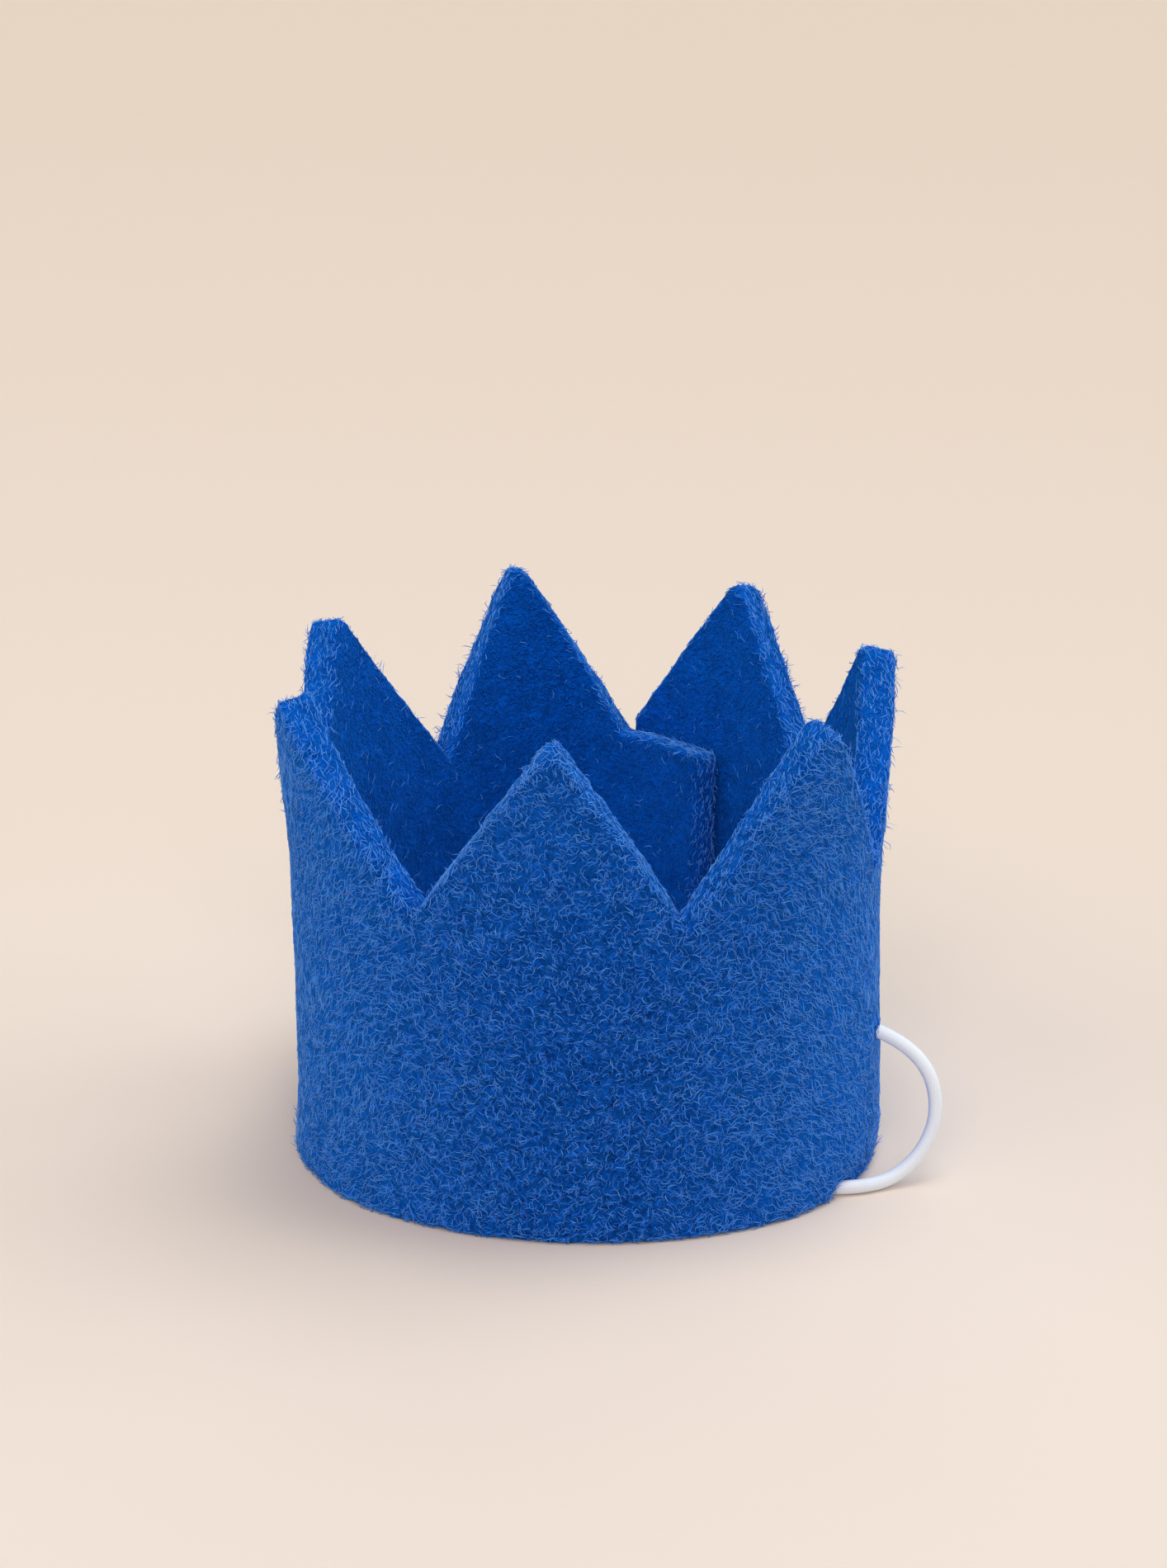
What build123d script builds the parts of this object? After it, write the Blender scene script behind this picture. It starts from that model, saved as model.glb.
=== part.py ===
from build123d import *
import os
from collections import namedtuple
from math import atan2, cos, degrees, radians, sin, sqrt, tan

# Birthday crown: one strip of thick felt with seven points, rolled into a ring and glued,
# with an elastic cord to hold it on.
# Lengths are in millimetres and angles in degrees. The crown stands on z = 0 and its front looks along -Y.

# Felt strip. Heights are at the middle of the felt, and the cut edge slopes down from inside to outside.
felt_thickness = 5.0
valley_height = 46.0
crown_height = 71.5
tip_width = 1.6
tip_radius = 1.0
point_lean = 3.0
cut_slope = 1.2
tab_length = 16.0

# Where the hand-cut tips and valleys lie along the strip, in point widths from its outer end,
# and how far they stray above the plain heights
tip_shares = (0.48, 1.49, 2.48, 3.45, 4.55, 5.50, 6.53)
tip_rises = (0, 0, 0, 0, 0, 0.5, 1.0)
valley_shares = (0.00, 1.00, 2.05, 2.98, 3.98, 5.00, 6.13)
valley_rises = (1.2, 0, 0, 0, 0, 0, -1.3)

# Plan of the ring, to the middle of the felt: three rounded corners joined by three flatter sides,
# all in shares of the ring's mean radius. The seam lies in the back corner, a share of its turn along.
ring_radius = 40.0
front_corner_share = 0.6625
front_reach_share = 0.3625
back_corner_share = 0.80
back_reach_share = 0.40
side_share = 1.325
seam_share = 0.104
right_angle = -29
left_angle = -151
back_angle = 107

# Glue in the lap of the seam
glue_thickness = 0.3
glue_inset = 2.0

# Elastic cord and its knots, which lie against the inside of the wall
cord_diameter = 2.0
cord_clearance = 0.2
knot_radius = 2.4
knot_chamfer = 0.7
knot_tail = 5.0
knot_tail_angle = 40

# Arch that the cord presses into the rim where it passes under the felt
arch_width = 6.0
arch_height = 2.3

# Route of the cord: out of the right-hand hole, down to the floor, across inside the ring,
# and up to the left-hand hole
right_loop = [
    (34.8, -15.2, 22.2),
    (41.9, -16.7, 20.6),
    (48.3, -18.3, 17.0),
    (50.3, -19.9, 11.0),
    (48.5, -21.4, 5.0),
    (44.0, -23.3, 1.05),
    (38.5, -26.1, 1.05),
]
floor_run = [
    (31.0, -26.3, 1.05),
    (22.5, -26.8, 1.05),
    (13.5, -29.6, 1.05),
    (4.5, -31.2, 1.05),
    (-6.5, -31.0, 1.05),
    (-17.0, -28.0, 1.05),
    (-25.5, -21.0, 1.05),
    (-30.5, -11.5, 1.05),
    (-34.0, 0.6, 1.05),
]
left_loop = [
    (-42.2, 10.4, 1.05),
    (-45.2, 15.4, 5.2),
    (-45.5, 19.2, 11.2),
    (-43.4, 21.4, 17.0),
    (-37.3, 20.0, 20.7),
    (-31.2, 16.8, 22.2),
]
bend_share = 0.45

# One overrun serves every cut
overrun = 4.0

Bend = namedtuple("Bend", "centre radius start turn")


def polar(radius, angle):
    return Vector(radius * cos(radians(angle)), radius * sin(radians(angle)), 0)


def heading(vector):
    return degrees(atan2(vector.Y, vector.X))


def side_centre(first, first_radius, second, second_radius):
    """Centre of the side that runs tangent into two corners, on the far side of the ring."""
    side_radius = side_share * ring_radius
    span = second - first
    first_reach = side_radius - first_radius
    second_reach = side_radius - second_radius
    ahead = (span.length**2 + first_reach**2 - second_reach**2) / (2 * span.length)
    inward = sqrt(first_reach**2 - ahead**2)
    direction = span.normalized()
    return first + direction * ahead + direction.rotate(Axis.Z, -90) * inward


def strip_bends():
    """The strip's bends, clockwise from its outer end. The last one is the tab, inside the first."""
    front_radius = front_corner_share * ring_radius
    back_radius = back_corner_share * ring_radius
    side_radius = side_share * ring_radius
    lap_radius = back_radius - felt_thickness - glue_thickness
    back = polar(back_reach_share * ring_radius, back_angle)
    right = polar(front_reach_share * ring_radius, right_angle)
    left = polar(front_reach_share * ring_radius, left_angle)
    right_side = side_centre(back, back_radius, right, front_radius)
    front_side = side_centre(right, front_radius, left, front_radius)
    left_side = side_centre(left, front_radius, back, lap_radius)
    back_end = heading(back - right_side)
    back_start = heading(back - left_side)
    seam_angle = back_end + seam_share * ((back_start - back_end) % 360)
    course = (
        (back, back_radius, back_end),
        (right_side, side_radius, heading(right - right_side)),
        (right, front_radius, heading(right - front_side)),
        (front_side, side_radius, heading(left - front_side)),
        (left, front_radius, heading(left - left_side)),
        (left_side, side_radius, back_start),
        (back, lap_radius, seam_angle),
        (back, lap_radius, seam_angle - degrees(tab_length / lap_radius)),
    )
    bends = []
    start = seam_angle
    for centre, radius, end in course:
        bends.append(Bend(centre, radius, start, (start - end) % 360))
        start = end
    return bends


bends = strip_bends()
ring_length = sum(bend.radius * radians(bend.turn) for bend in bends[:-1])
point_width = ring_length / len(tip_shares)


def place(distance, offset, height):
    """The point at a distance along the strip, offset outwards from the middle of the felt."""
    for bend in bends:
        length = bend.radius * radians(bend.turn)
        if distance <= length:
            break
        distance -= length
    angle = bend.start - degrees(distance / bend.radius)
    return bend.centre + polar(bend.radius + offset, angle) + Vector(0, 0, height)


def strip_face(course, offset, height):
    """The strip's edge as seen from above, for some of its bends."""
    outside = offset + felt_thickness / 2
    inside = offset - felt_thickness / 2
    outer = [CenterArc(bend.centre, bend.radius + outside, bend.start, -bend.turn) for bend in course]
    inner = [CenterArc(bend.centre, bend.radius + inside, bend.start, -bend.turn) for bend in course]
    ends = [Line(outer[0] @ 0, inner[0] @ 0), Line(outer[-1] @ 1, inner[-1] @ 1)]
    return Pos(0, 0, height) * make_face(outer + inner + ends)


def notch(index):
    """The cut at one valley and over the rounded tips beside it, right through the felt."""
    left_tip = tip_shares[index - 1] * point_width + tip_width / 2
    right_tip = tip_shares[index] * point_width - tip_width / 2
    left_height = crown_height + tip_rises[index - 1]
    right_height = crown_height + tip_rises[index]
    sections = []
    for offset in (-2 * felt_thickness, point_width):
        drop = cut_slope * offset / felt_thickness
        bottom = place(valley_shares[index] * point_width, offset, valley_height + valley_rises[index] - drop)
        left = place(left_tip, offset + point_lean, left_height - drop)
        right = place(right_tip, offset + point_lean, right_height - drop)
        along = (right - left).normalized()
        past = along * tip_width
        upward = left - bottom - along * (left - bottom).dot(along)
        rise = upward.normalized() * 2 * overrun
        corners = [bottom, left, left - past, left - past + rise, right + past + rise, right + past, right]
        outline = make_face(Polyline(*corners, close=True))
        tips = [outline.vertices().sort_by_distance(corner)[0] for corner in (left, right)]
        sections.append(fillet(tips, tip_radius))
    return loft(sections, ruled=True)


def felt_band():
    lower = extrude(strip_face(bends, 0, 0), valley_height)
    blank_height = crown_height + overrun
    blank_lean = point_lean * (blank_height - valley_height) / (crown_height - valley_height)
    blank_edges = [strip_face(bends[:-1], 0, valley_height), strip_face(bends[:-1], blank_lean, blank_height)]
    band = lower + loft(blank_edges, ruled=True)
    for index in range(len(valley_shares)):
        band -= notch(index)
    return band


def seam_glue():
    lap = bends[-1]
    outside = lap.radius + felt_thickness / 2 + glue_thickness
    inset_turn = degrees(glue_inset / lap.radius)
    start = lap.start - inset_turn
    turn = 2 * inset_turn - lap.turn
    outer = CenterArc(lap.centre, outside, start, turn)
    inner = CenterArc(lap.centre, outside - glue_thickness, start, turn)
    face = make_face([outer, inner, Line(outer @ 0, inner @ 0), Line(outer @ 1, inner @ 1)])
    return extrude(Pos(0, 0, glue_inset) * face, valley_height - 2 * glue_inset)


def bore(start, end, radius, reach):
    """A straight round cut along a run of the cord, reaching past both ends of the run."""
    past = (end - start).normalized() * reach
    axis = end - start + past * 2
    return extrude(Plane(origin=start - past, z_dir=axis) * Circle(radius), axis.length)


def cord_hole(start, end):
    return bore(start, end, cord_diameter / 2 + cord_clearance, ring_radius / 4)


def rim_arch(start, end):
    """The low arch over one run of the cord, from the floor up."""
    radius = (arch_width**2 / 4 + arch_height**2) / (2 * arch_height)
    sunk = Vector(0, 0, arch_height - radius - start.Z)
    return bore(start + sunk, end + sunk, radius, overrun)


def elastic_cord(points):
    """The cord as straight runs joined by the largest tangent arcs that its runs allow."""
    radii = []
    for before, corner, after in zip(points, points[1:], points[2:]):
        arriving = corner - before
        leaving = after - corner
        half_turn = radians(arriving.get_angle(leaving) / 2)
        radii.append(bend_share * min(arriving.length, leaving.length) / tan(half_turn))
    path = FilletPolyline(*points, radius=radii)
    section = Plane(origin=path @ 0, z_dir=path % 0) * Circle(cord_diameter / 2)
    tube = sweep(section, path=path)
    drawn = section.area * path.length
    print("cord length", round(path.length, 1))
    print("cord volume over section times length", round(tube.volume / drawn, 4))
    print("cord radii", [round(radius, 1) for radius in radii])
    return tube


def stopper_knot(seat, next_point):
    """One tight turn of the cord round its own end, seated where it enters the wall, with a short tail."""
    cord_radius = cord_diameter / 2
    from_seat = (Align.CENTER, Align.CENTER, Align.MIN)
    turn = Cylinder(knot_radius, cord_diameter, align=from_seat)
    turn = chamfer(turn.edges().filter_by(GeomType.CIRCLE), knot_chamfer)
    tail = Rot(knot_tail_angle, 0, 0) * Cylinder(cord_radius, knot_tail, align=from_seat)
    knot = turn + Pos(0, 0, cord_radius) * tail
    return Plane(origin=seat, z_dir=seat - next_point) * knot


route = [Vector(*point) for point in right_loop + floor_run + left_loop]
right_entry = len(right_loop)
left_exit = right_entry + len(floor_run)

band = felt_band()
glue = seam_glue()
middle = band.bounding_box().center()
to_origin = Pos(-middle.X, -middle.Y, 0)
band = to_origin * band
glue = to_origin * glue

band -= cord_hole(route[0], route[1])
band -= cord_hole(route[-1], route[-2])
band -= rim_arch(route[right_entry - 1], route[right_entry])
band -= rim_arch(route[left_exit - 1], route[left_exit])

pieces = {
    "crown_band": band,
    "seam_glue": glue,
    "elastic_cord": elastic_cord(route),
    "cord_knot_right": stopper_knot(route[0], route[1]),
    "cord_knot_left": stopper_knot(route[-1], route[-2]),
}
os.makedirs("parts", exist_ok=True)
for name, piece in pieces.items():
    export_step(piece, f"parts/{name}.step")
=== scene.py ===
from collections import namedtuple
from math import atan2, cos, pi, radians, sin, sqrt

import bpy
import numpy as np
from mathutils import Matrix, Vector, noise


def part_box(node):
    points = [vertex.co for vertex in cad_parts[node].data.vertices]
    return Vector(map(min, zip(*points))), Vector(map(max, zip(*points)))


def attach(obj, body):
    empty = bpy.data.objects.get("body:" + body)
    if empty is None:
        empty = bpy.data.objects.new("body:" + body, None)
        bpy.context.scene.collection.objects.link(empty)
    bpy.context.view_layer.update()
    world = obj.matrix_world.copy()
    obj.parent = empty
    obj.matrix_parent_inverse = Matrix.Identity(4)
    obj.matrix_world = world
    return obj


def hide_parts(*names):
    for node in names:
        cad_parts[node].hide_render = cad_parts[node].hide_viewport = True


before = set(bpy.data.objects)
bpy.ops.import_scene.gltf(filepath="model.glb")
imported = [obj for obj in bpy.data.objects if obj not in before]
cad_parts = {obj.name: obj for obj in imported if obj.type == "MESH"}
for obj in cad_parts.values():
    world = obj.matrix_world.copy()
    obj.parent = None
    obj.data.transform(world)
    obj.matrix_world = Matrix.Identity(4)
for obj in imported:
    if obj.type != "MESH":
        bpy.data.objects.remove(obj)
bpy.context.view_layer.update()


def srgb(red, green, blue):
    """A colour as seen in a picture, from 0 to 255, as the shader's linear colour, by the sRGB curve."""
    values = np.array((red, green, blue)) / 255
    linear = np.where(values <= 0.04045, values / 12.92, ((values + 0.055) / 1.055) ** 2.4)
    return (*linear.tolist(), 1.0)


# Felt strip, in metres, as it is cut and rolled in the solid model
FELT_THICKNESS = 0.005
VALLEY_HEIGHT = 0.046
CROWN_HEIGHT = 0.0715
TIP_WIDTH = 0.0016
TIP_RADIUS = 0.0010
TIP_DROP_SHARE = 0.3
POINT_LEAN = 0.003
LEAN_BEND_SHARE = 0.3
CUT_SLOPE = 0.0012
TAB_LENGTH = 0.016
GLUE_THICKNESS = 0.0003
TIP_SHARES = (0.48, 1.49, 2.48, 3.45, 4.55, 5.50, 6.53)
TIP_RISES = (0, 0, 0, 0, 0, 0.0005, 0.0010)
VALLEY_SHARES = (0.00, 1.00, 2.05, 2.98, 3.98, 5.00, 6.13, 7.00)
VALLEY_RISES = (0.0012, 0, 0, 0, 0, 0, -0.0013, 0.0012)

# Plan of the ring, in shares of its mean radius
RING_RADIUS = 0.040
FRONT_CORNER_SHARE = 0.6625
FRONT_REACH_SHARE = 0.3625
BACK_CORNER_SHARE = 0.80
BACK_REACH_SHARE = 0.40
SIDE_SHARE = 1.325
SEAM_SHARE = 0.104
RIGHT_ANGLE = radians(-29)
LEFT_ANGLE = radians(-151)
BACK_ANGLE = radians(107)

# Mesh of the felt
COLUMN_STEP = 0.00075
LEAST_COLUMNS = 3
SIDE_ROWS = 56
CUT_ROWS = 6
EDGE_STEPS = 5
EDGE_RADIUS = 0.0012
SWELL_DEPTH = 0.00022
SWELL_SIZE = 0.011
NAP_DEPTH = 0.00010
NAP_SIZE = 0.0022
CUT_ROUGHNESS = 1.8

# How the walls stand out: a little towards the rim all round, and on the right above the rim
RIM_FLARE = 0.0008
RIM_FLARE_HEIGHT = 0.014
RIGHT_FLARE = 0.0016
RIGHT_FLARE_PLACE = 0.073
RIGHT_FLARE_WIDTH = 0.016
RIGHT_FLARE_HEIGHT = 0.007
RIGHT_FLARE_FOOT_SHARE = 0.4

# Where the cord dents the felt
DENT_DEPTH = 0.0006
DENT_RADIUS = 0.0014
ARCH_RADIUS = 0.0021
ARCH_HEIGHT = 0.0021
ARCH_REACH = 0.009

# Loose fibres: each is a short spindle that leaves the felt and mostly goes back in
FIBRE_STEPS = 3
FIBRE_SIDES = 3
FIBRE_SINK = 0.00006
MAP_MARGIN = 0.1
AXIS_STRAY = 0.05
SIDE_STRAY = 0.01
LIFT_SPREAD = (1.3, 2.6)
RETURN_SHARES = (0.62, 1.0)
THICKNESS_SHARES = (0.7, 1.2)
TINT_SPREAD = (1.2, 2.4)

# How the fibres lie: along a slow grain, and better combed towards the sides and on the cut edges
GRAIN_SIZE = 0.012
GRAIN_SWAY = 0.6
GRAIN_SPREAD = 0.40
GRAIN_LOOSE = 1.4
GRAIN_FAN = 24
COMB_REACH = 0.032
COMB_LENGTH = 0.7
COMB_CURL = 0.8
COMB_THIN = 0.25

# Kinds of fibre: lying curls on the walls, loops on the cut edges, and a few hairs on both
Style = namedtuple("Style", "length curl wave lift radius along_edge")
CURLS = Style(
    length=(0.0009, 0.0020), curl=(500, 2400), wave=0.5, lift=0.00030, radius=0.000078, along_edge=False
)
LOOPS = Style(
    length=(0.0006, 0.0012), curl=(600, 3200), wave=0.6, lift=0.00020, radius=0.000090, along_edge=True
)
HAIRS = Style(
    length=(0.0009, 0.0018), curl=(600, 1800), wave=0.6, lift=0.0006, radius=0.000034, along_edge=False
)
CURL_COUNT = 15000
CURL_SEEDS = (11, 12, 13, 16)
LOOP_COUNT = 9500
LOOP_SEED = 14
HAIR_COUNT = 400
HAIR_SEED = 15

# How densely fibres grow inside the ring, round the corners of a cut, and on the edges for hairs
INSIDE_SHARE = 0.03
CORNER_WEIGHT = 3
HAIR_EDGE_WEIGHT = 3

# Painted light: paler felt inside, and outside towards its points and its sides, where it is lit more.
# Combed fibres are painted paler still.
PAINTED_LIGHT_FROM = 0.030
PAINTED_LIGHT_TOP = 0.6
PAINTED_LIGHT_SIDES = 1.25
PAINTED_LIGHT_COMBED = 1.2

# Elastic cord: the route's points, in metres
CORD_DIAMETER = 0.002
CORD_ROUTE = [
    (0.0348, -0.0152, 0.0230),
    (0.0419, -0.0167, 0.0214),
    (0.0483, -0.0183, 0.0174),
    (0.0503, -0.0199, 0.0110),
    (0.0485, -0.0214, 0.0050),
    (0.0440, -0.0233, 0.00105),
    (0.0385, -0.0261, 0.00105),
    (0.0310, -0.0263, 0.00105),
    (0.0225, -0.0268, 0.00105),
    (0.0135, -0.0296, 0.00105),
    (0.0045, -0.0312, 0.00105),
    (-0.0065, -0.0310, 0.00105),
    (-0.0170, -0.0280, 0.00105),
    (-0.0255, -0.0210, 0.00105),
    (-0.0305, -0.0115, 0.00105),
    (-0.0340, 0.0006, 0.00105),
    (-0.0422, 0.0104, 0.00105),
    (-0.0452, 0.0154, 0.0052),
    (-0.0455, 0.0192, 0.0112),
    (-0.0434, 0.0214, 0.0170),
    (-0.0373, 0.0200, 0.0207),
    (-0.0312, 0.0168, 0.0222),
]
RIGHT_UNDER_RIM = (6, 7)
LEFT_UNDER_RIM = (15, 16)
LINE_STEPS = 24
BRAID_CARRIERS = 16
BRAID_PITCH = 0.0030
BRAID_DEPTH = 0.000022
CORD_SIDES = 32
CORD_STEP = 0.00036

# Knots: the cord is drawn thinner there. Places are along the tail, beside it and inwards from the wall.
KNOT_CORD = 0.0018
KNOT_RING = 0.0014
KNOT_START = [(0, 0, -0.0004), (0, 0, 0.0005), (0.0002, -0.0006, 0.0013)]
KNOT_STEPS = 10
KNOT_STEP_DEGREES = 40
KNOT_FIRST_DEGREES = -60
KNOT_TOP = 0.0015
KNOT_DROP = 0.00007
KNOT_TAIL_SHARES = (0.32, 0.66, 1.0)

# Looks. Scales are in waves a metre, and a range is where a noise value starts and ends its change.
WHOLE_RANGE = (0.0, 1.0)
NOISE_MIDDLE = 0.5
FINE_DETAIL = 3

# Look of the felt
# Darkest blue: painted shade in the pits between fibres, and where the slow blotches darken.
FELT_PIT = srgb(0, 36, 106)
FELT_BODY = srgb(0, 75, 175)
# Painted light: a paler blue for where the felt is lit more.
FELT_PAINTED_LIGHT = srgb(0, 112, 239)
FELT_FIBRE = srgb(12, 113, 238)
FELT_SHEEN = srgb(40, 150, 255)
FELT_SHEEN_WEIGHT = 0.9
FELT_ROUGHNESS = 0.95
FELT_SPECULAR = 0.05
FELT_BUMP = 0.0003
SHEEN_ROUGHNESS = 0.25
# How far the painted light goes towards its paler blue.
PAINTED_LIGHT_SHARE = 0.5
STRAND_SCALES = (620, 800, 1000, 1250)
STRAND_DETAIL = 1.5
STRAND_LAYER = 7.3
STRAND_TWIST = 0.6
STRAND_RANGE = (0.01, 0.075)
STRAND_SHARE = 0.35
GAP_SCALE_SHARE = 0.6
GAP_LAYER = 3.1
GAP_FIRST_LAYER = 40
GAP_RANGE = (0.42, 0.58)
GAP_LEAST = 0.15
# Pits: low places of the bump, painted darker as shade.
PIT_SCALE = 1300
PIT_LAYER = 21
PIT_RANGE = (0.30, 0.62)
PIT_HEIGHT_SHARE = 0.5
SHADE_SCALE = 300
SHADE_LAYER = 33
SHADE_RANGE = (0.35, 0.65)
SHADE_SHARE = 0.25

# Look of the loose fibres
FELT_HAIR = srgb(96, 174, 255)
# Painted light: the paler blue of the fibres where painted light is marked.
FIBRE_PAINTED_LIGHT = srgb(84, 168, 255)
FIBRE_SHEEN = srgb(150, 190, 255)
FIBRE_SHEEN_WEIGHT = 1.0
FIBRE_ROUGHNESS = 0.8
WORN_SCALE = 700
WORN_SHARE = 0.3

# Look of the elastic
# Painted shade: the braid's hollows a little darker and bluer.
ELASTIC_HOLLOW_SHADE = srgb(234, 242, 252)
ELASTIC_STRAND = srgb(245, 253, 255)
ELASTIC_SOIL = srgb(232, 238, 248)
ELASTIC_RANGE = (0.70, 1.0)
ELASTIC_ROUGHNESS = 0.5
ELASTIC_SPECULAR = 0.8
SOIL_SCALE = 400
SOIL_SHARE = 0.10
THREAD_SCALE = 4000
THREAD_BUMP = 0.00003

# Look of the glue
GLUE_DARK = srgb(214, 206, 184)
GLUE_PALE = srgb(236, 230, 214)
GLUE_SCALE = 300
GLUE_RANGE = (0.35, 0.65)
GLUE_ROUGHNESS = (0.35, 0.5)

# Floor, and its look
FLOOR_REACH = 6.0
# The far colour is darker: a painted falloff of the light with distance.
FLOOR_FAR = srgb(224, 206, 189)
FLOOR_NEAR = srgb(236, 222, 210)
FLOOR_GRAIN = srgb(225, 208, 194)
FLOOR_FRONT = 0.11
FLOOR_FADE = 0.5
FLOOR_ROUGHNESS = 0.9
FLOOR_GRAIN_SCALE = 900
FLOOR_GRAIN_SHARE = 0.05

# Soft lamps: name, azimuth, elevation and spread in degrees, share of a level floor's light, and colour
COOL = (0.90, 1.0, 1.08)
PLAIN = (0.98, 1.0, 0.99)
WARM = (1.10, 1.0, 0.97)
LAMPS = (
    ("key", 36, 68, 36, 0.240, PLAIN),
    ("top", 0, 90, 30, 0.300, PLAIN),
    ("front", 272, 36, 40, 0.210, WARM),
    ("front_left", 235, 45, 40, 0.050, WARM),
    ("right", 14, 25, 45, 0.115, COOL),
    ("back", 80, 25, 60, 0.075, COOL),
    ("left", 198, 25, 60, 0.072, PLAIN),
)
SKY_COLOUR = (1.0, 0.98, 0.96, 1.0)
SKY_STRENGTH = 0.015

# Camera of the photograph
CAMERA_PLACE = (0.021783, -0.371473, 0.184720)
CAMERA_PITCH = radians(19.704)
CAMERA_YAW = radians(3.583)
CAMERA_LENS = 62.66
CAMERA_SENSOR = 36.0
CAMERA_CLIP = 0.01


# Plan of the strip

def polar(radius, angle):
    return np.array((radius * cos(angle), radius * sin(angle)))


def heading(vector):
    return atan2(vector[1], vector[0])


def side_centre(first, first_radius, second, second_radius):
    """Centre of the side that runs tangent into two corners, on the far side of the ring."""
    span = second - first
    length = np.linalg.norm(span)
    first_reach = SIDE_SHARE * RING_RADIUS - first_radius
    second_reach = SIDE_SHARE * RING_RADIUS - second_radius
    ahead = (length**2 + first_reach**2 - second_reach**2) / (2 * length)
    inward = sqrt(first_reach**2 - ahead**2)
    along = span / length
    return first + along * ahead + np.array((along[1], -along[0])) * inward


def strip_bends():
    """(centre, radius, start angle, turn) of each bend, clockwise from the outer end to the tab."""
    front_radius = FRONT_CORNER_SHARE * RING_RADIUS
    back_radius = BACK_CORNER_SHARE * RING_RADIUS
    side_radius = SIDE_SHARE * RING_RADIUS
    lap_radius = back_radius - FELT_THICKNESS - GLUE_THICKNESS
    back = polar(BACK_REACH_SHARE * RING_RADIUS, BACK_ANGLE)
    right = polar(FRONT_REACH_SHARE * RING_RADIUS, RIGHT_ANGLE)
    left = polar(FRONT_REACH_SHARE * RING_RADIUS, LEFT_ANGLE)
    right_side = side_centre(back, back_radius, right, front_radius)
    front_side = side_centre(right, front_radius, left, front_radius)
    left_side = side_centre(left, front_radius, back, lap_radius)
    back_end = heading(back - right_side)
    back_start = heading(back - left_side)
    seam_angle = back_end + SEAM_SHARE * ((back_start - back_end) % (2 * pi))
    course = (
        (back, back_radius, back_end),
        (right_side, side_radius, heading(right - right_side)),
        (right, front_radius, heading(right - front_side)),
        (front_side, side_radius, heading(left - front_side)),
        (left, front_radius, heading(left - left_side)),
        (left_side, side_radius, back_start),
        (back, lap_radius, seam_angle),
        (back, lap_radius, seam_angle - TAB_LENGTH / lap_radius),
    )
    bends = []
    start = seam_angle
    for centre, radius, end in course:
        bends.append((centre, radius, start, (start - end) % (2 * pi)))
        start = end
    return bends


BENDS = strip_bends()
RING_LENGTH = sum(radius * turn for _, radius, _, turn in BENDS[:-1])
POINT_WIDTH = RING_LENGTH / len(TIP_SHARES)


def along_strip(distances):
    """The middle of the felt and its outward direction, in plan, at distances along the strip."""
    middle = np.zeros((len(distances), 2))
    outward = np.zeros((len(distances), 2))
    passed = 0.0
    for index, (centre, radius, start, turn) in enumerate(BENDS):
        last = index == len(BENDS) - 1
        here = (distances >= passed) & (last | (distances < passed + radius * turn))
        angles = start - (distances[here] - passed) / radius
        outward[here] = np.stack((np.cos(angles), np.sin(angles)), axis=1)
        middle[here] = centre + outward[here] * radius
        passed += radius * turn
    return middle, outward


# Meshes

def unit(vectors):
    return vectors / np.linalg.norm(vectors, axis=-1, keepdims=True)


def normals_of(mesh):
    normals = np.zeros(len(mesh.vertices) * 3, np.float32)
    mesh.vertex_normals.foreach_get("vector", normals)
    return normals.reshape(-1, 3).astype(float)


def points_of(mesh):
    points = np.zeros(len(mesh.vertices) * 3, np.float32)
    mesh.vertices.foreach_get("co", points)
    return points.reshape(-1, 3).astype(float)


def put_points(mesh, points):
    mesh.vertices.foreach_set("co", points.astype(np.float32).ravel())
    mesh.update()


def point_values(mesh, name, values):
    attribute = mesh.attributes.new(name, "FLOAT", "POINT")
    attribute.data.foreach_set("value", np.asarray(values, np.float32))


def values_of(mesh, name):
    values = np.zeros(len(mesh.vertices), np.float32)
    mesh.attributes[name].data.foreach_get("value", values)
    return values.astype(float)


def new_piece(name, mesh, material):
    piece = bpy.data.objects.new(name, mesh)
    bpy.context.scene.collection.objects.link(piece)
    mesh.materials.append(material)
    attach(piece, "root")
    return piece


# Felt band

def strip_corners():
    """(distance, height) of the strip's valleys and of both ends of its flat tips, in order."""
    valleys = []
    for share, rise in zip(VALLEY_SHARES, VALLEY_RISES):
        valleys.append((share * POINT_WIDTH, VALLEY_HEIGHT + rise))
    corners = valleys[:1]
    for share, rise, valley in zip(TIP_SHARES, TIP_RISES, valleys[1:]):
        corners.append((share * POINT_WIDTH - TIP_WIDTH / 2, CROWN_HEIGHT + rise))
        corners.append((share * POINT_WIDTH + TIP_WIDTH / 2, CROWN_HEIGHT + rise))
        corners.append(valley)
    corners.append((RING_LENGTH + TAB_LENGTH, VALLEY_HEIGHT))
    return corners


def strip_columns():
    """Distances along the strip for the mesh's columns, on every tip and valley, and their heights."""
    corners = strip_corners()
    distances = [np.array(corners[0][:1])]
    heights = [np.array(corners[0][1:])]
    for (start, low), (end, high) in zip(corners, corners[1:]):
        steps = max(LEAST_COLUMNS, round((end - start) / COLUMN_STEP))
        shares = np.arange(1, steps + 1) / steps
        distances.append(start + (end - start) * shares)
        heights.append(low + (high - low) * shares)
    distances = np.concatenate(distances)
    heights = np.concatenate(heights)
    for tip in TIP_SHARES:
        for side in (-1, 1):
            corner = tip * POINT_WIDTH + side * TIP_WIDTH / 2
            away = np.abs(distances - corner)
            heights -= TIP_DROP_SHARE * TIP_RADIUS * np.clip(1 - away / TIP_RADIUS, 0, 1) ** 2
    return distances, heights


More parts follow.
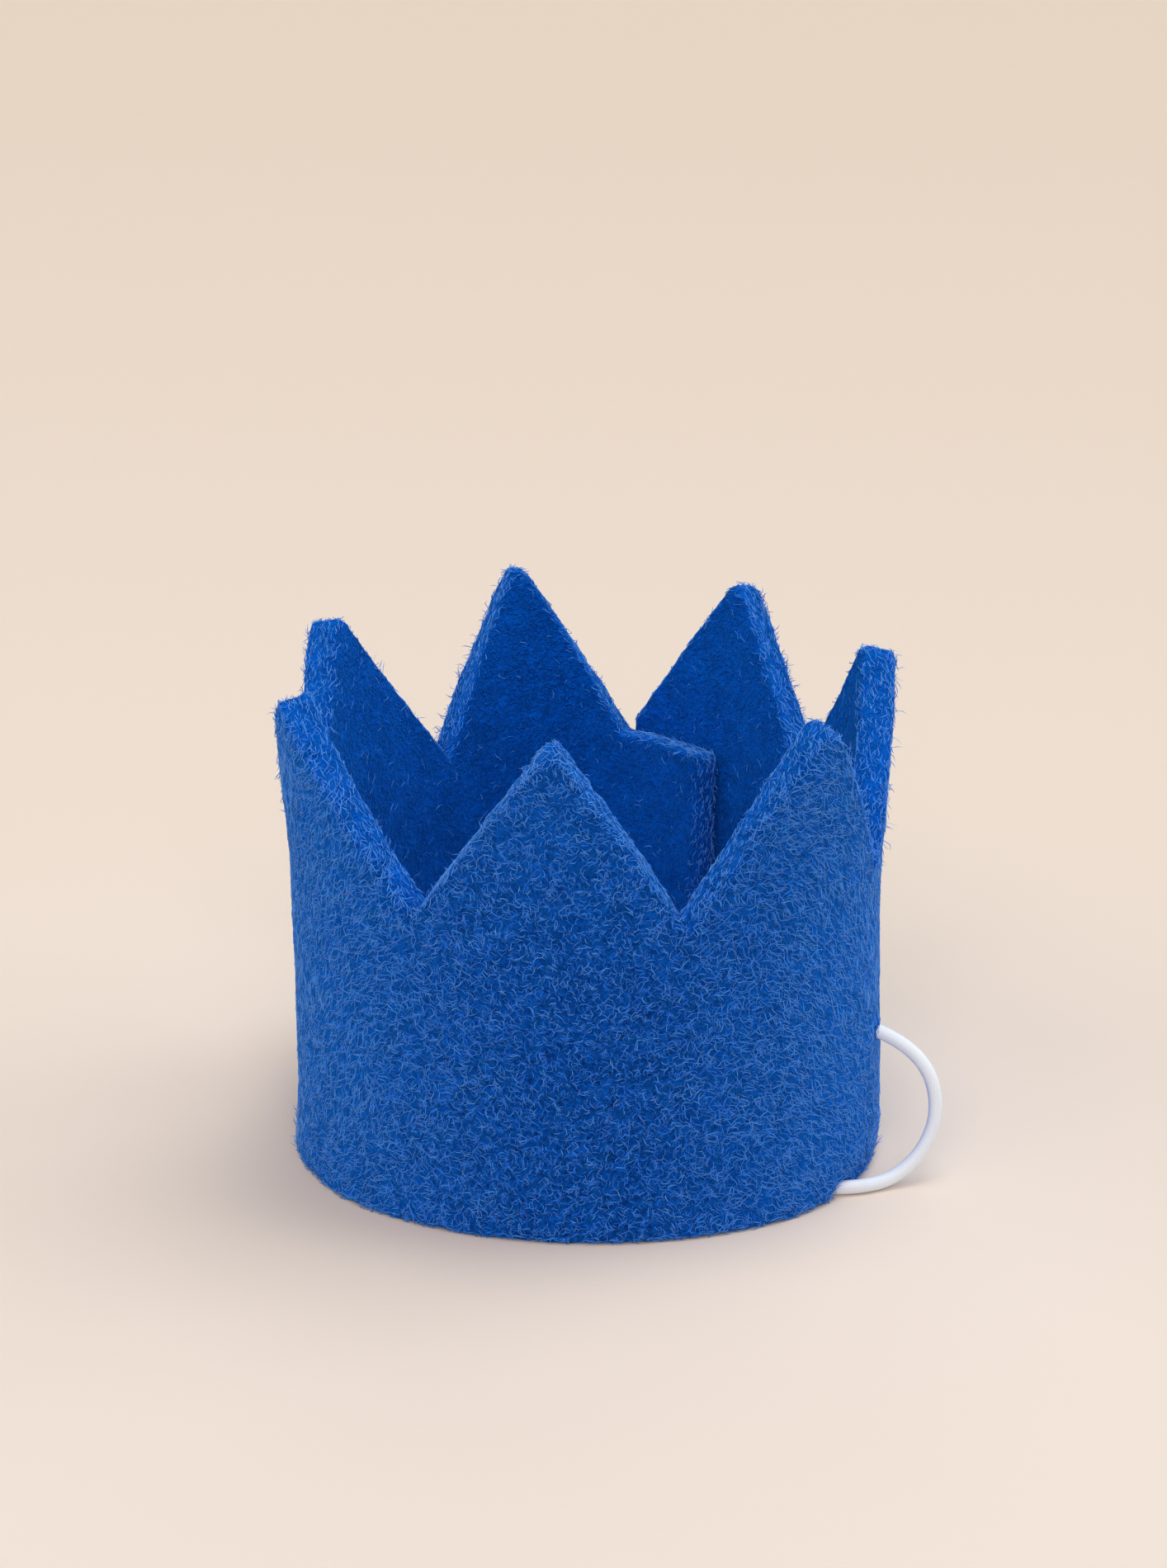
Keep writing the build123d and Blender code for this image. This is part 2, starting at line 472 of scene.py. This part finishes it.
def section_loop():
    """The felt's cross-section as rows of (offset, fixed height, share of the column's height, cut)."""
    half = FELT_THICKNESS / 2
    flat = half - EDGE_RADIUS
    turns = [(step + 1) * pi / 2 / (EDGE_STEPS + 1) for step in range(EDGE_STEPS)]
    rising = [(EDGE_RADIUS * cos(turn), EDGE_RADIUS * (sin(turn) - 1), sin(turn)) for turn in turns]
    falling = [(EDGE_RADIUS * sin(turn), EDGE_RADIUS * (cos(turn) - 1), cos(turn)) for turn in turns]
    shares = np.linspace(0, 1, SIDE_ROWS)
    across = np.linspace(flat, -flat, CUT_ROWS)
    rows = [(half, EDGE_RADIUS * (1 - 2 * share), share, 0.0) for share in shares]
    rows += [(flat + out, drop, 1.0, cut) for out, drop, cut in rising]
    rows += [(offset, 0.0, 1.0, 1.0) for offset in across]
    rows += [(-flat - out, drop, 1.0, cut) for out, drop, cut in falling]
    rows += [(-half, EDGE_RADIUS * (1 - 2 * share), share, 0.0) for share in shares[::-1]]
    rows += [(-flat - out, -drop, 0.0, cut) for out, drop, cut in rising]
    rows += [(offset, 0.0, 0.0, 1.0) for offset in across[::-1]]
    rows += [(flat + out, -drop, 0.0, cut) for out, drop, cut in falling]
    return np.array(rows)


def lean_at(heights):
    """How far the points stand out of the wall: a soft bend that starts below the valleys."""
    share = (heights - VALLEY_HEIGHT) / (CROWN_HEIGHT - VALLEY_HEIGHT)
    share = np.clip(share, -LEAN_BEND_SHARE, None) + LEAN_BEND_SHARE
    return POINT_LEAN * share**2 / (1 + LEAN_BEND_SHARE) ** 2


def flare_at(distances, heights):
    """How far the wall stands out towards its rim."""
    rim = np.clip(1 - heights / RIM_FLARE_HEIGHT, 0, 1) ** 2
    low = np.clip(1 - heights / VALLEY_HEIGHT, 0, 1)
    foot = np.clip(RIGHT_FLARE_FOOT_SHARE + heights / RIGHT_FLARE_HEIGHT, 0, 1)
    right = np.exp(-(((distances - RIGHT_FLARE_PLACE) / RIGHT_FLARE_WIDTH) ** 2))[:, None]
    return RIM_FLARE * rim * (1 - right) + RIGHT_FLARE * low * foot * right


def felt_points(distances, heights, loop):
    """Places of the felt's smooth mesh, column by column, and their levels above the floor."""
    middle, outward = along_strip(distances)
    slope = CUT_SLOPE * loop[None, :, 0] / FELT_THICKNESS
    level = loop[None, :, 1] + loop[None, :, 2] * (heights[:, None] - slope)
    ends = np.minimum(distances, distances[-1] - distances)
    into_edge = np.clip(1 - ends / EDGE_RADIUS, 0, 1)
    rounding = EDGE_RADIUS * (1 - np.sqrt(np.clip(1 - into_edge**2, 0, 1)))
    thinner = 1 - 2 * rounding / FELT_THICKNESS
    offset = loop[None, :, 0] * thinner[:, None] + lean_at(level)
    plan = middle[:, None, :] + outward[:, None, :] * offset[:, :, None]
    points = np.concatenate((plan, level[:, :, None]), axis=2).reshape(-1, 3)
    low, high = (np.array(corner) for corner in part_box("crown_band"))
    points[:, :2] += (low + high)[:2] / 2 - (points.min(0) + points.max(0))[:2] / 2
    flare = outward[:, None, :] * flare_at(distances, level)[:, :, None]
    points[:, :2] += flare.reshape(-1, 2)
    return points, level


def felt_faces(columns, rows):
    """Faces between the columns of the felt's mesh, and over the two ends of the strip."""
    index = np.arange(columns * rows).reshape(columns, rows)
    right = np.roll(index, -1, axis=1)
    faces = np.stack((index[:-1], index[1:], right[1:], right[:-1]), axis=2).reshape(-1, 4).tolist()
    inner = SIDE_ROWS + 2 * EDGE_STEPS + CUT_ROWS
    for column, turn in ((0, 1), (columns - 1, -1)):
        outer_side = index[column, :SIDE_ROWS]
        inner_side = index[column, inner:inner + SIDE_ROWS][::-1]
        strip = np.stack((outer_side[:-1], outer_side[1:], inner_side[1:], inner_side[:-1]), axis=1)
        faces += strip[:, ::turn].tolist()
        over = index[column, SIDE_ROWS - 1:inner + 1].tolist()
        under = index[column, inner + SIDE_ROWS - 1:].tolist() + [int(index[column, 0])]
        faces += [over[::turn], under[::turn]]
    return faces


def cut_marks(loop, columns):
    """How far each point of the felt's mesh is on a cut face. Both ends of the strip are cut."""
    cut = np.tile(loop[:, 3], (columns, 1))
    cut[[0, -1]] = 1.0
    return cut.ravel()


def painted_light_marks(points, levels, outside):
    """How much painted light the felt has at each point of its mesh: a paler blue for where it is lit
    more.
    """
    high = np.clip((levels - PAINTED_LIGHT_FROM) / (CROWN_HEIGHT - PAINTED_LIGHT_FROM), 0, 1)
    sideways = np.clip(np.abs(points[:, 0]) / RING_RADIUS, 0, 1) ** 2
    return np.where(outside, np.maximum(PAINTED_LIGHT_TOP * high, PAINTED_LIGHT_SIDES * sideways), 1.0)


def uneven(points, normals, cut):
    """The felt's slow swells and short nap, along the normals. The cut faces are rougher."""
    swell = np.array([noise.noise(point) for point in points / SWELL_SIZE])
    nap = np.array([noise.noise(point) for point in points / NAP_SIZE])
    nap *= 1 + CUT_ROUGHNESS * cut
    return points + normals * (SWELL_DEPTH * swell + NAP_DEPTH * nap)[:, None]


def from_run(points, start, end):
    """How far points lie from the straight run between two places."""
    start = np.array(start)
    run = np.array(end) - start
    share = np.clip((points - start) @ run / (run @ run), 0, 1)
    return np.linalg.norm(points - start - share[:, None] * run, axis=1)


def lift_over_cord(points, run):
    """Raises the rim into a low arch where the cord passes under it."""
    plan = points * (1, 1, 0)
    start, end = (np.array(CORD_ROUTE[index]) * (1, 1, 0) for index in run)
    past = (end - start) / np.linalg.norm(end - start) * FELT_THICKNESS
    away = from_run(plan, start - past, end + past)
    arch = ARCH_HEIGHT * np.sqrt(np.clip(1 - (away / ARCH_RADIUS) ** 2, 0, 1))
    points[:, 2] += arch * np.clip(1 - points[:, 2] / ARCH_REACH, 0, 1)


def press_cord(points, normals):
    """Dents the felt round the cord's two holes and lifts its rim over the cord."""
    for start, end in ((0, 1), (-1, -2)):
        away = from_run(points, CORD_ROUTE[start], CORD_ROUTE[end])
        points -= normals * (DENT_DEPTH * np.exp(-((away / DENT_RADIUS) ** 2)))[:, None]
    for run in (RIGHT_UNDER_RIM, LEFT_UNDER_RIM):
        lift_over_cord(points, run)
    points[:, 2] = np.maximum(points[:, 2], 0)


def felt_band(material):
    """The rolled strip, swept as one cross-section along its columns."""
    distances, heights = strip_columns()
    loop = section_loop()
    points, level = felt_points(distances, heights, loop)
    mesh = bpy.data.meshes.new("felt_band")
    mesh.from_pydata(points.tolist(), [], felt_faces(*level.shape))
    mesh.validate()
    cut = cut_marks(loop, len(level))
    outside = np.tile(loop[:, 0] > 0, len(level))
    point_values(mesh, "cut", cut)
    point_values(mesh, "outside", outside)
    # Painted light: kept as a mark on the mesh for the materials.
    point_values(mesh, "painted_light", painted_light_marks(points, level.ravel(), outside))
    normals = normals_of(mesh)
    points = uneven(points_of(mesh), normals, cut)
    press_cord(points, normals)
    put_points(mesh, points)
    mesh.shade_smooth()
    band = new_piece("felt_band", mesh, material)
    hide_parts("crown_band")
    return band


# Loose fibres of the felt

def scatter(mesh, weights, count, turn, turns, rng):
    """One turn of evenly dealt places on a mesh, as dense as its points' weights ask, with their normals
    and their painted light."""
    mesh.calc_loop_triangles()
    corners = np.zeros(len(mesh.loop_triangles) * 3, np.int32)
    mesh.loop_triangles.foreach_get("vertices", corners)
    corners = corners.reshape(-1, 3)
    points = points_of(mesh)[corners]
    chance = np.linalg.norm(np.cross(points[:, 1] - points[:, 0], points[:, 2] - points[:, 0]), axis=1)
    chance *= weights[corners].mean(axis=1)
    dealt = (np.arange(count) * turns + turn + rng.random(count)) / (count * turns)
    chosen = np.searchsorted(np.cumsum(chance), dealt * chance.sum())
    shares = rng.dirichlet((1, 1, 1), count)[:, :, None]
    places = (points[chosen] * shares).sum(axis=1)
    normals = unit((normals_of(mesh)[corners[chosen]] * shares).sum(axis=1))
    return places, normals, values_of(mesh, "painted_light")[corners[chosen]].mean(axis=1)


def comb_share(roots, style):
    """How well combed the fibres are: along the cut edges and towards the sides of the crown."""
    sideways = np.clip(np.abs(roots[:, 0]) / COMB_REACH, 0, 1)
    return np.ones_like(sideways) if style.along_edge else sideways


def fibre_paths(roots, normals, style, combed, rng):
    """Curled lines that leave the felt at their roots, lie along its grain and mostly go back in."""
    count = len(roots)
    shares = np.linspace(0, 1, FIBRE_STEPS + 1)
    axis = unit(roots * (1, 1, 0)) if style.along_edge else (0, 0, 1)
    level = unit(np.cross(normals, axis + rng.normal(0, AXIS_STRAY, (count, 3))))
    upward = np.cross(normals, level)
    grain = GRAIN_SWAY * np.array([noise.noise(root) for root in roots / GRAIN_SIZE])
    grain += 0 if style.along_edge else GRAIN_FAN * roots[:, 0]
    spread = GRAIN_SPREAD + GRAIN_LOOSE * (1 - combed)
    start = grain + rng.normal(0, 1, count) * spread + rng.choice((0, pi), count)
    length = rng.uniform(*style.length, count) * (1 + COMB_LENGTH * combed)
    bent = 1 - COMB_CURL * combed
    curl = rng.uniform(*style.curl, count) * rng.choice((-1, 1), count) * length * bent
    wave = rng.uniform(-style.wave, style.wave, count)
    turn = start[:, None] + curl[:, None] * (shares - 1 / 2) + wave[:, None] * np.sin(2 * pi * shares)
    steps = level[:, None] * np.cos(turn)[:, :, None] + upward[:, None] * np.sin(turn)[:, :, None]
    steps = np.cumsum(steps[:, :-1], axis=1) * (length / FIBRE_STEPS)[:, None, None]
    lift = style.lift * rng.beta(*LIFT_SPREAD, count)
    arc = np.sin(pi * shares * rng.uniform(*RETURN_SHARES, count)[:, None])
    height = lift[:, None] * arc - FIBRE_SINK
    paths = roots[:, None] + normals[:, None] * height[:, :, None]
    paths[:, 1:] += steps
    paths[:, :, 2] = np.maximum(paths[:, :, 2], style.radius)
    return paths


def spindle_points(paths, normals, style, combed, rng):
    """Points of each fibre's closed spindle: a tip, a ring round each step between, and a tip."""
    count = len(paths)
    ahead = unit(np.gradient(paths, axis=1))
    side = unit(np.cross(ahead, normals[:, None] + rng.normal(0, SIDE_STRAY, (count, 1, 3))))
    up = np.cross(side, ahead)
    thin = style.radius * rng.uniform(*THICKNESS_SHARES, count) * (1 - COMB_THIN * combed)
    rings = []
    for corner in range(FIBRE_SIDES):
        angle = 2 * pi * corner / FIBRE_SIDES
        rings.append(paths + (side * cos(angle) + up * sin(angle)) * thin[:, None, None])
    body = np.stack(rings, axis=2)[:, 1:-1].reshape(count, -1, 3)
    points = np.concatenate((paths[:, :1], body, paths[:, -1:]), axis=1)
    points[:, :, 2] = np.maximum(points[:, :, 2], 0)
    return points


def spindle_faces():
    """Corners of one fibre's triangles: point numbers, and places in the fibre's square of its map."""
    faces = []
    places = []
    end = FIBRE_STEPS - 1
    last = 1 + FIBRE_SIDES * end
    for side in range(FIBRE_SIDES):
        near, far = side, (side + 1) % FIBRE_SIDES
        faces.append((0, 1 + far, 1 + near))
        places.append(((0, side + 1 / 2), (1, side + 1), (1, side)))
        for step in range(1, end):
            ring = 1 + FIBRE_SIDES * (step - 1)
            ahead = ring + FIBRE_SIDES
            faces += [(ring + near, ring + far, ahead + far), (ring + near, ahead + far, ahead + near)]
            places.append(((step, side), (step, side + 1), (step + 1, side + 1)))
            places.append(((step, side), (step + 1, side + 1), (step + 1, side)))
        ring = last - FIBRE_SIDES
        faces.append((ring + near, ring + far, last))
        places.append(((end, side), (end, side + 1), (FIBRE_STEPS, side + 1 / 2)))
    return np.array(faces), np.array(places) / (FIBRE_STEPS, FIBRE_SIDES)


def lay_map(mesh, places, count):
    """Gives each fibre a square of its own in the piece's map, with a margin."""
    columns = int(sqrt(count)) + 1
    order = np.arange(count)
    square = np.stack((order % columns, order // columns), axis=1)
    maps = (square[:, None, None] + MAP_MARGIN + (1 - 2 * MAP_MARGIN) * places[None]) / columns
    mesh.uv_layers.new(name="OFBake").data.foreach_set("uv", maps.astype(np.float32).ravel())


def fibres(name, felt, weights, count, style, material, seed, turn=0, turns=1):
    """One piece of loose fibres, each a closed spindle along its own line."""
    rng = np.random.default_rng(seed)
    roots, normals, painted_light = scatter(felt.data, weights, count, turn, turns, rng)
    combed = comb_share(roots, style)
    paths = fibre_paths(roots, normals, style, combed, rng)
    points = spindle_points(paths, normals, style, combed, rng)
    each = points.shape[1]
    faces, places = spindle_faces()
    faces = faces[None] + each * np.arange(count)[:, None, None]
    mesh = bpy.data.meshes.new(name)
    mesh.from_pydata(points.reshape(-1, 3).tolist(), [], faces.reshape(-1, 3).tolist())
    lay_map(mesh, places, count)
    point_values(mesh, "tint", np.repeat(rng.beta(*TINT_SPREAD, count), each))
    # Painted light: fibres paler where the felt is, and paler still where combed towards the sides.
    point_values(mesh, "painted_light", np.repeat(np.maximum(painted_light, PAINTED_LIGHT_COMBED * combed**2), each))
    mesh.shade_smooth()
    return new_piece(name, mesh, material)


# Elastic cord

def route_line(points):
    """Points along the smooth line that has the route's points as its control points."""
    curve = bpy.data.curves.new("cord_line", "CURVE")
    curve.dimensions = "3D"
    curve.resolution_u = LINE_STEPS
    spline = curve.splines.new("NURBS")
    spline.points.add(len(points) - 1)
    for target, point in zip(spline.points, points):
        target.co = (*point, 1)
    spline.order_u = 3
    spline.use_endpoint_u = True
    line = bpy.data.objects.new("cord_line", curve)
    mesh = bpy.data.meshes.new_from_object(line)
    places = points_of(mesh)
    bpy.data.objects.remove(line)
    bpy.data.curves.remove(curve)
    bpy.data.meshes.remove(mesh)
    return places


def even_line(places, step):
    """The same line with its points one step apart, and how far along each one is."""
    lengths = np.concatenate(((0,), np.cumsum(np.linalg.norm(np.diff(places, axis=0), axis=1))))
    along = np.linspace(0, lengths[-1], max(2, round(lengths[-1] / step)))
    line = [np.interp(along, lengths, places[:, axis]) for axis in range(3)]
    return np.stack(line, axis=1), along


def line_sides(line):
    """Two directions across a line at each of its points, which twist as little as they can."""
    ahead = unit(np.gradient(line, axis=0))
    side = np.zeros_like(line)
    side[0] = unit(np.cross(ahead[0], (0, 0, 1)))
    for index in range(1, len(line)):
        side[index] = unit(side[index - 1] - ahead[index] * (side[index - 1] @ ahead[index]))
    return side, np.cross(ahead, side)


def braided_tube(name, places, diameter, material):
    """A closed tube along a line, with the crossing strands of a braid in its surface."""
    line, along = even_line(places, CORD_STEP)
    side, up = line_sides(line)
    angles = np.arange(CORD_SIDES) * 2 * pi / CORD_SIDES
    phase = along[:, None] * 2 * pi / BRAID_PITCH
    around = angles[None, :] * BRAID_CARRIERS / 2
    strands = np.maximum(np.abs(np.cos(around + phase)), np.abs(np.cos(around - phase)))
    radius = diameter / 2 - BRAID_DEPTH + BRAID_DEPTH * strands
    spread = side[:, None] * np.cos(angles)[:, None] + up[:, None] * np.sin(angles)[:, None]
    points = (line[:, None] + spread * radius[:, :, None]).reshape(-1, 3)
    index = np.arange(len(points)).reshape(len(line), CORD_SIDES)
    right = np.roll(index, -1, axis=1)
    faces = np.stack((index[:-1], right[:-1], right[1:], index[1:]), axis=2).reshape(-1, 4).tolist()
    faces += [index[0, ::-1].tolist(), index[-1].tolist()]
    mesh = bpy.data.meshes.new(name)
    mesh.from_pydata(points.tolist(), [], faces)
    point_values(mesh, "strand", strands.ravel())
    mesh.shade_smooth()
    return new_piece(name, mesh, material), line


def stopper_knot(name, seat, following, material):
    """The knot in the place of the solid one: the cord turns once round itself and ends in the tail."""
    seat = np.array(seat)
    inward = unit(seat - np.array(following))
    solid = points_of(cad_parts[name].data) - seat
    tip = solid[np.argmax(np.linalg.norm(solid, axis=1))]
    along = unit(tip - inward * (tip @ inward))
    beside = np.cross(inward, along)
    turns = []
    for step in range(KNOT_STEPS):
        angle = radians(KNOT_STEP_DEGREES * step + KNOT_FIRST_DEGREES)
        turns.append((KNOT_RING * cos(angle), KNOT_RING * sin(angle), KNOT_TOP - KNOT_DROP * step))
    tail = [(share * (tip @ along), 0, share * (tip @ inward)) for share in KNOT_TAIL_SHARES]
    steps = np.array(KNOT_START + turns + tail)
    places = seat + steps @ np.stack((along, beside, inward))
    knot, _ = braided_tube(name + "_braid", route_line(places.tolist()), KNOT_CORD, material)
    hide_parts(name)
    return knot


# Materials

class Nodes:
    """Builds a material's node tree, one node a call."""

    def __init__(self, name):
        self.material = bpy.data.materials.new(name)
        self.material.use_nodes = True
        self.tree = self.material.node_tree
        self.shader = self.tree.nodes["Principled BSDF"]

    def add(self, kind, inputs=None, **settings):
        node = self.tree.nodes.new(kind)
        for name, value in settings.items():
            setattr(node, name, value)
        for key, value in (inputs or {}).items():
            self.put(node.inputs[key], value)
        return node

    def put(self, socket, value):
        if isinstance(value, bpy.types.NodeSocket):
            self.tree.links.new(value, socket)
        else:
            socket.default_value = value

    def shade(self, **values):
        for name, value in values.items():
            self.put(self.shader.inputs[name.replace("_", " ")], value)

    def math(self, operation, *values):
        node = self.add("ShaderNodeMath", dict(enumerate(values)), operation=operation)
        return node.outputs[0]

    def mix(self, factor, first, second):
        """A mix of two colours, by the node's colour sockets."""
        node = self.add("ShaderNodeMix", {0: factor}, data_type="RGBA")
        self.put(node.inputs[6], first)
        self.put(node.inputs[7], second)
        return node.outputs[2]

    def ranged(self, value, span, first=0.0, second=1.0):
        """A smooth change from first to second while a value crosses a span."""
        inputs = {0: value, 1: span[0], 2: span[1], 3: first, 4: second}
        return self.add("ShaderNodeMapRange", inputs, interpolation_type="SMOOTHSTEP").outputs[0]

    def noise(self, place, scale, detail=2.0, layer=0.0, distortion=0.0):
        inputs = {"Vector": place, "W": layer, "Scale": scale, "Detail": detail, "Distortion": distortion}
        return self.add("ShaderNodeTexNoise", inputs, noise_dimensions="4D").outputs["Fac"]

    def places(self):
        return self.add("ShaderNodeTexCoord").outputs["Object"]

    def attribute(self, name):
        return self.add("ShaderNodeAttribute", attribute_name=name).outputs["Fac"]

    def bump(self, height, depth):
        inputs = {"Strength": 1.0, "Distance": depth, "Height": height}
        return self.add("ShaderNodeBump", inputs).outputs["Normal"]


def felt_strands(felt, places):
    """Thin curled lines of several sizes, each broken by gaps."""
    strands = 0.0
    for layer, scale in enumerate(STRAND_SCALES):
        level = felt.noise(places, scale, STRAND_DETAIL, layer * STRAND_LAYER, STRAND_TWIST)
        away = felt.math("ABSOLUTE", felt.math("SUBTRACT", level, NOISE_MIDDLE))
        line = felt.ranged(away, STRAND_RANGE, 1.0, 0.0)
        broken = felt.noise(places, scale * GAP_SCALE_SHARE, layer=layer * GAP_LAYER + GAP_FIRST_LAYER)
        gaps = felt.ranged(broken, GAP_RANGE, GAP_LEAST, 1.0)
        strands = felt.math("MAXIMUM", strands, felt.math("MULTIPLY", line, gaps))
    return strands


def felt_material():
    """Matted wool: curled strands over dark pits of painted shade, with slow darker blotches, and painted
    light, a paler blue, where marked.
    """
    felt = Nodes("felt")
    places = felt.places()
    strands = felt_strands(felt, places)
    # Painted shade: the felt is darker in its pits, where the bump is low.
    pits = felt.ranged(felt.noise(places, PIT_SCALE, FINE_DETAIL, PIT_LAYER), PIT_RANGE)
    shade = felt.ranged(felt.noise(places, SHADE_SCALE, FINE_DETAIL, SHADE_LAYER), SHADE_RANGE)
    body = felt.mix(pits, FELT_PIT, FELT_BODY)
    # Painted light: a paler blue where the felt is marked as lit more.
    body = felt.mix(felt.math("MULTIPLY", felt.attribute("painted_light"), PAINTED_LIGHT_SHARE), body, FELT_PAINTED_LIGHT)
    body = felt.mix(felt.math("MULTIPLY", strands, STRAND_SHARE), body, FELT_FIBRE)
    body = felt.mix(felt.math("MULTIPLY", shade, SHADE_SHARE), body, FELT_PIT)
    height = felt.math("ADD", felt.math("MULTIPLY", pits, PIT_HEIGHT_SHARE), strands)
    felt.shade(Base_Color=body, Normal=felt.bump(height, FELT_BUMP), Roughness=FELT_ROUGHNESS)
    felt.shade(Sheen_Weight=FELT_SHEEN_WEIGHT, Sheen_Roughness=SHEEN_ROUGHNESS, Sheen_Tint=FELT_SHEEN)
    felt.shade(Specular_IOR_Level=FELT_SPECULAR)
    return felt.material


def fibre_material():
    """Single fibres, each in a tone of its own, made paler by painted light where marked."""
    fibre = Nodes("felt_fibre")
    tint = fibre.ranged(fibre.attribute("tint"), WHOLE_RANGE)
    worn = fibre.math("MULTIPLY", fibre.noise(fibre.places(), WORN_SCALE), WORN_SHARE)
    colour = fibre.mix(worn, fibre.mix(tint, FELT_FIBRE, FELT_HAIR), FELT_FIBRE)
    # Painted light: fibres paler where marked as lit more.
    colour = fibre.mix(fibre.math("MULTIPLY", fibre.attribute("painted_light"), PAINTED_LIGHT_SHARE), colour, FIBRE_PAINTED_LIGHT)
    fibre.shade(Base_Color=colour, Roughness=FIBRE_ROUGHNESS, Specular_IOR_Level=FELT_SPECULAR)
    fibre.shade(Sheen_Weight=FIBRE_SHEEN_WEIGHT, Sheen_Roughness=SHEEN_ROUGHNESS)
    fibre.shade(Sheen_Tint=FIBRE_SHEEN)
    return fibre.material


def elastic_material():
    """White braided elastic, with painted shade in the hollows of the braid: a little darker and bluer
    there.
    """
    elastic = Nodes("elastic")
    strand = elastic.ranged(elastic.attribute("strand"), ELASTIC_RANGE)
    soil = elastic.noise(elastic.places(), SOIL_SCALE, FINE_DETAIL)
    # Painted shade in the hollows of the braid.
    colour = elastic.mix(strand, ELASTIC_HOLLOW_SHADE, ELASTIC_STRAND)
    colour = elastic.mix(elastic.math("MULTIPLY", soil, SOIL_SHARE), colour, ELASTIC_SOIL)
    thread = elastic.bump(elastic.noise(elastic.places(), THREAD_SCALE), THREAD_BUMP)
    elastic.shade(Base_Color=colour, Normal=thread, Roughness=ELASTIC_ROUGHNESS)
    elastic.shade(Specular_IOR_Level=ELASTIC_SPECULAR)
    return elastic.material


def glue_material():
    """Set craft glue: milky, with slow clouds."""
    glue = Nodes("glue")
    clouds = glue.ranged(glue.noise(glue.places(), GLUE_SCALE, FINE_DETAIL), GLUE_RANGE)
    glue.shade(Base_Color=glue.mix(clouds, GLUE_DARK, GLUE_PALE))
    glue.shade(Roughness=glue.ranged(clouds, WHOLE_RANGE, *GLUE_ROUGHNESS))
    return glue.material


def floor_material():
    """Whitish warm paper, painted a little darker with distance: a painted falloff of the light."""
    paper = Nodes("paper")
    places = paper.places()
    # Painted shade: the paper grows darker with distance, for the light falling off.
    depth = paper.add("ShaderNodeSeparateXYZ", {0: places}).outputs["Y"]
    beyond = paper.math("ADD", depth, FLOOR_FRONT)
    near = paper.math("EXPONENT", paper.math("DIVIDE", beyond, -FLOOR_FADE))
    grain = paper.noise(places, FLOOR_GRAIN_SCALE, FINE_DETAIL)
    grain = paper.math("MULTIPLY", grain, FLOOR_GRAIN_SHARE)
    colour = paper.mix(grain, paper.mix(near, FLOOR_FAR, FLOOR_NEAR), FLOOR_GRAIN)
    paper.shade(Base_Color=colour, Roughness=FLOOR_ROUGHNESS, Specular_IOR_Level=0.0)
    return paper.material


# Floor, light and camera

def floor():
    corners = [(-1, -1), (1, -1), (1, 1), (-1, 1)]
    mesh = bpy.data.meshes.new("floor")
    mesh.from_pydata([(x * FLOOR_REACH, y * FLOOR_REACH, 0) for x, y in corners], [], [(0, 1, 2, 3)])
    mesh.materials.append(floor_material())
    plane = bpy.data.objects.new("floor", mesh)
    bpy.context.scene.collection.objects.link(plane)


def sun(name, azimuth, elevation, spread, share, colour):
    """A wide soft lamp that gives a level floor its share of full light."""
    azimuth, elevation = radians(azimuth), radians(elevation)
    light = bpy.data.lights.new(name, "SUN")
    light.angle = radians(spread)
    light.color = colour
    light.energy = share * pi / sin(elevation)
    lamp = bpy.data.objects.new(name, light)
    reach = cos(elevation)
    towards = Vector((-cos(azimuth) * reach, -sin(azimuth) * reach, -sin(elevation)))
    lamp.rotation_euler = towards.to_track_quat("-Z", "Y").to_euler()
    bpy.context.scene.collection.objects.link(lamp)


def light():
    scene = bpy.context.scene
    scene.view_settings.view_transform = "Standard"
    scene.world = bpy.data.worlds.new("studio")
    scene.world.use_nodes = True
    sky = scene.world.node_tree.nodes["Background"]
    sky.inputs["Color"].default_value = SKY_COLOUR
    sky.inputs["Strength"].default_value = SKY_STRENGTH
    for lamp in LAMPS:
        sun(*lamp)


def camera():
    lens = bpy.data.cameras.new("camera")
    lens.lens = CAMERA_LENS
    lens.sensor_width = CAMERA_SENSOR
    lens.clip_start = CAMERA_CLIP
    eye = bpy.data.objects.new("camera", lens)
    eye.location = CAMERA_PLACE
    eye.rotation_euler = (pi / 2 - CAMERA_PITCH, 0, CAMERA_YAW)
    bpy.context.scene.collection.objects.link(eye)
    bpy.context.scene.camera = eye


camera()
light()
floor()

elastic = elastic_material()
cord, cord_line = braided_tube("elastic_cord_braid", route_line(CORD_ROUTE), CORD_DIAMETER, elastic)
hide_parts("elastic_cord")
knots = [
    stopper_knot("cord_knot_right", CORD_ROUTE[0], CORD_ROUTE[1], elastic),
    stopper_knot("cord_knot_left", CORD_ROUTE[-1], CORD_ROUTE[-2], elastic),
]

band = felt_band(felt_material())
cut = values_of(band.data, "cut")
outside = values_of(band.data, "outside")
above = points_of(band.data)[:, 2] > 2 * FIBRE_SINK
walls = above * (1 - cut) * (INSIDE_SHARE + (1 - INSIDE_SHARE) * outside)
edges = above * (cut + CORNER_WEIGHT * cut * (1 - cut))
hairy = walls + HAIR_EDGE_WEIGHT * edges
fibre = fibre_material()
for turn, seed in enumerate(CURL_SEEDS):
    name = f"felt_curls_{turn + 1}"
    fibres(name, band, walls, CURL_COUNT, CURLS, fibre, seed, turn, len(CURL_SEEDS))
fibres("felt_loops", band, edges, LOOP_COUNT, LOOPS, fibre, LOOP_SEED)
fibres("felt_hairs", band, hairy, HAIR_COUNT, HAIRS, fibre, HAIR_SEED)
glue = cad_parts["seam_glue"]
glue.data.materials.clear()
glue.data.materials.append(glue_material())
